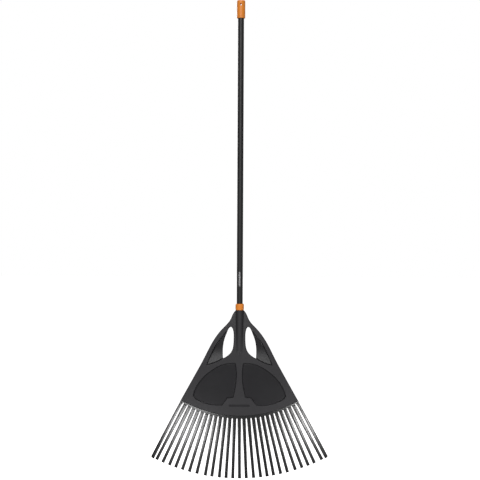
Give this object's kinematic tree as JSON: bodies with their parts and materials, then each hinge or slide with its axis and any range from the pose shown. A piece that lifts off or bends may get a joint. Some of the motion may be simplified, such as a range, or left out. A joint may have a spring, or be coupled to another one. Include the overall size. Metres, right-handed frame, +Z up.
{
  "type": "leaf rake",
  "caption": "Wide plastic-fan leaf rake on a long round shaft, with flexible hooked tines, two hand windows in the fan, a ring collar at the socket and a capped end to hang it by.",
  "frame": {"origin": "centre of the hanging hole in the end cap, on the shaft's axis", "axes": "+Z up along the shaft towards the cap, -Y out of the domed front of the fan, +X to the right seen from the front; the tines hook towards +Y"},
  "size_m": [0.6618, 0.1448, 1.7681],
  "materials": {
    "black_head": "moulded polypropylene, fine satin grain",
    "black_sleeve": "smooth satin plastic skin over the tube",
    "orange_plastic": "satin moulded plastic",
    "aluminium": "drawn tube",
    "grey_plastic": "moulded",
    "steel": "zinc plated"
  },
  "bodies": {
    "handle_and_head": {"end_cap": "orange_plastic", "shaft_sleeve": "black_sleeve", "shaft_tube": "aluminium", "shaft_plug": "grey_plastic", "socket_collar": "orange_plastic", "head_screw": "steel", "fan_head": "black_head"},
    "tine_01_blade": {"tine_01": "black_head"},
    "tine_02_blade": {"tine_02": "black_head"},
    "tine_03_blade": {"tine_03": "black_head"},
    "tine_04_blade": {"tine_04": "black_head"},
    "tine_05_blade": {"tine_05": "black_head"},
    "tine_06_blade": {"tine_06": "black_head"},
    "tine_07_blade": {"tine_07": "black_head"},
    "tine_08_blade": {"tine_08": "black_head"},
    "tine_09_blade": {"tine_09": "black_head"},
    "tine_10_blade": {"tine_10": "black_head"},
    "tine_11_blade": {"tine_11": "black_head"},
    "tine_12_blade": {"tine_12": "black_head"},
    "tine_13_blade": {"tine_13": "black_head"},
    "tine_14_blade": {"tine_14": "black_head"},
    "tine_15_blade": {"tine_15": "black_head"},
    "tine_16_blade": {"tine_16": "black_head"},
    "tine_17_blade": {"tine_17": "black_head"},
    "tine_18_blade": {"tine_18": "black_head"},
    "tine_19_blade": {"tine_19": "black_head"},
    "tine_20_blade": {"tine_20": "black_head"},
    "tine_21_blade": {"tine_21": "black_head"},
    "tine_22_blade": {"tine_22": "black_head"},
    "tine_23_blade": {"tine_23": "black_head"},
    "tine_24_blade": {"tine_24": "black_head"},
    "tine_25_blade": {"tine_25": "black_head"},
    "tine_26_blade": {"tine_26": "black_head"},
    "tine_27_blade": {"tine_27": "black_head"}
  },
  "joints": [
    {"name": "tine_01_flex", "type": "hinge", "parent": "handle_and_head", "child": "tine_01_blade", "pos_m": [-0.21519, 0.02757, -1.46172], "axis": [-0.8516, 0.094, 0.5157], "range_deg": [-8, 20], "stiffness_Nm_per_rad": 2},
    {"name": "tine_02_flex", "type": "hinge", "parent": "handle_and_head", "child": "tine_02_blade", "pos_m": [-0.20012, 0.02599, -1.47042], "axis": [-0.873, 0.0873, 0.4799], "range_deg": [-8, 20], "stiffness_Nm_per_rad": 2},
    {"name": "tine_03_flex", "type": "hinge", "parent": "handle_and_head", "child": "tine_03_blade", "pos_m": [-0.1847, 0.02452, -1.47848], "axis": [-0.8928, 0.0805, 0.4432], "range_deg": [-8, 20], "stiffness_Nm_per_rad": 2},
    {"name": "tine_04_flex", "type": "hinge", "parent": "handle_and_head", "child": "tine_04_blade", "pos_m": [-0.16896, 0.02318, -1.48589], "axis": [-0.9111, 0.0736, 0.4056], "range_deg": [-8, 20], "stiffness_Nm_per_rad": 2},
    {"name": "tine_05_flex", "type": "hinge", "parent": "handle_and_head", "child": "tine_05_blade", "pos_m": [-0.15292, 0.02195, -1.49263], "axis": [-0.9277, 0.0666, 0.3673], "range_deg": [-8, 20], "stiffness_Nm_per_rad": 2},
    {"name": "tine_06_flex", "type": "hinge", "parent": "handle_and_head", "child": "tine_06_blade", "pos_m": [-0.13661, 0.02085, -1.49869], "axis": [-0.9427, 0.0594, 0.3283], "range_deg": [-8, 20], "stiffness_Nm_per_rad": 2},
    {"name": "tine_07_flex", "type": "hinge", "parent": "handle_and_head", "child": "tine_07_blade", "pos_m": [-0.12006, 0.01988, -1.50407], "axis": [-0.956, 0.0522, 0.2886], "range_deg": [-8, 20], "stiffness_Nm_per_rad": 2},
    {"name": "tine_08_flex", "type": "hinge", "parent": "handle_and_head", "child": "tine_08_blade", "pos_m": [-0.10331, 0.01903, -1.50875], "axis": [-0.9676, 0.0449, 0.2484], "range_deg": [-8, 20], "stiffness_Nm_per_rad": 2},
    {"name": "tine_09_flex", "type": "hinge", "parent": "handle_and_head", "child": "tine_09_blade", "pos_m": [-0.08637, 0.01832, -1.51272], "axis": [-0.9775, 0.0375, 0.2078], "range_deg": [-8, 20], "stiffness_Nm_per_rad": 2},
    {"name": "tine_10_flex", "type": "hinge", "parent": "handle_and_head", "child": "tine_10_blade", "pos_m": [-0.06928, 0.01773, -1.51598], "axis": [-0.9855, 0.0301, 0.1667], "range_deg": [-8, 20], "stiffness_Nm_per_rad": 2},
    {"name": "tine_11_flex", "type": "hinge", "parent": "handle_and_head", "child": "tine_11_blade", "pos_m": [-0.05206, 0.01727, -1.51852], "axis": [-0.9919, 0.0226, 0.1253], "range_deg": [-8, 20], "stiffness_Nm_per_rad": 2},
    {"name": "tine_12_flex", "type": "hinge", "parent": "handle_and_head", "child": "tine_12_blade", "pos_m": [-0.03476, 0.01694, -1.52034], "axis": [-0.9964, 0.0151, 0.0837], "range_deg": [-8, 20], "stiffness_Nm_per_rad": 2},
    {"name": "tine_13_flex", "type": "hinge", "parent": "handle_and_head", "child": "tine_13_blade", "pos_m": [-0.0174, 0.01674, -1.52144], "axis": [-0.9991, 0.0076, 0.0419], "range_deg": [-8, 20], "stiffness_Nm_per_rad": 2},
    {"name": "tine_14_flex", "type": "hinge", "parent": "handle_and_head", "child": "tine_14_blade", "pos_m": [0, 0.01668, -1.5218], "axis": [-1, 0, 0], "range_deg": [-8, 20], "stiffness_Nm_per_rad": 2},
    {"name": "tine_15_flex", "type": "hinge", "parent": "handle_and_head", "child": "tine_15_blade", "pos_m": [0.0174, 0.01674, -1.52144], "axis": [-0.9991, -0.0076, -0.0419], "range_deg": [-8, 20], "stiffness_Nm_per_rad": 2},
    {"name": "tine_16_flex", "type": "hinge", "parent": "handle_and_head", "child": "tine_16_blade", "pos_m": [0.03476, 0.01694, -1.52034], "axis": [-0.9964, -0.0151, -0.0837], "range_deg": [-8, 20], "stiffness_Nm_per_rad": 2},
    {"name": "tine_17_flex", "type": "hinge", "parent": "handle_and_head", "child": "tine_17_blade", "pos_m": [0.05206, 0.01727, -1.51852], "axis": [-0.9919, -0.0226, -0.1253], "range_deg": [-8, 20], "stiffness_Nm_per_rad": 2},
    {"name": "tine_18_flex", "type": "hinge", "parent": "handle_and_head", "child": "tine_18_blade", "pos_m": [0.06928, 0.01773, -1.51598], "axis": [-0.9855, -0.0301, -0.1667], "range_deg": [-8, 20], "stiffness_Nm_per_rad": 2},
    {"name": "tine_19_flex", "type": "hinge", "parent": "handle_and_head", "child": "tine_19_blade", "pos_m": [0.08637, 0.01832, -1.51272], "axis": [-0.9775, -0.0375, -0.2078], "range_deg": [-8, 20], "stiffness_Nm_per_rad": 2},
    {"name": "tine_20_flex", "type": "hinge", "parent": "handle_and_head", "child": "tine_20_blade", "pos_m": [0.10331, 0.01903, -1.50875], "axis": [-0.9676, -0.0449, -0.2484], "range_deg": [-8, 20], "stiffness_Nm_per_rad": 2},
    {"name": "tine_21_flex", "type": "hinge", "parent": "handle_and_head", "child": "tine_21_blade", "pos_m": [0.12006, 0.01988, -1.50407], "axis": [-0.956, -0.0522, -0.2886], "range_deg": [-8, 20], "stiffness_Nm_per_rad": 2},
    {"name": "tine_22_flex", "type": "hinge", "parent": "handle_and_head", "child": "tine_22_blade", "pos_m": [0.13661, 0.02085, -1.49869], "axis": [-0.9427, -0.0594, -0.3283], "range_deg": [-8, 20], "stiffness_Nm_per_rad": 2},
    {"name": "tine_23_flex", "type": "hinge", "parent": "handle_and_head", "child": "tine_23_blade", "pos_m": [0.15292, 0.02195, -1.49263], "axis": [-0.9277, -0.0666, -0.3673], "range_deg": [-8, 20], "stiffness_Nm_per_rad": 2},
    {"name": "tine_24_flex", "type": "hinge", "parent": "handle_and_head", "child": "tine_24_blade", "pos_m": [0.16896, 0.02318, -1.48589], "axis": [-0.9111, -0.0736, -0.4056], "range_deg": [-8, 20], "stiffness_Nm_per_rad": 2},
    {"name": "tine_25_flex", "type": "hinge", "parent": "handle_and_head", "child": "tine_25_blade", "pos_m": [0.1847, 0.02452, -1.47848], "axis": [-0.8928, -0.0805, -0.4432], "range_deg": [-8, 20], "stiffness_Nm_per_rad": 2},
    {"name": "tine_26_flex", "type": "hinge", "parent": "handle_and_head", "child": "tine_26_blade", "pos_m": [0.20012, 0.02599, -1.47042], "axis": [-0.873, -0.0873, -0.4799], "range_deg": [-8, 20], "stiffness_Nm_per_rad": 2},
    {"name": "tine_27_flex", "type": "hinge", "parent": "handle_and_head", "child": "tine_27_blade", "pos_m": [0.21519, 0.02757, -1.46172], "axis": [-0.8516, -0.094, -0.5157], "range_deg": [-8, 20], "stiffness_Nm_per_rad": 2}
  ]
}
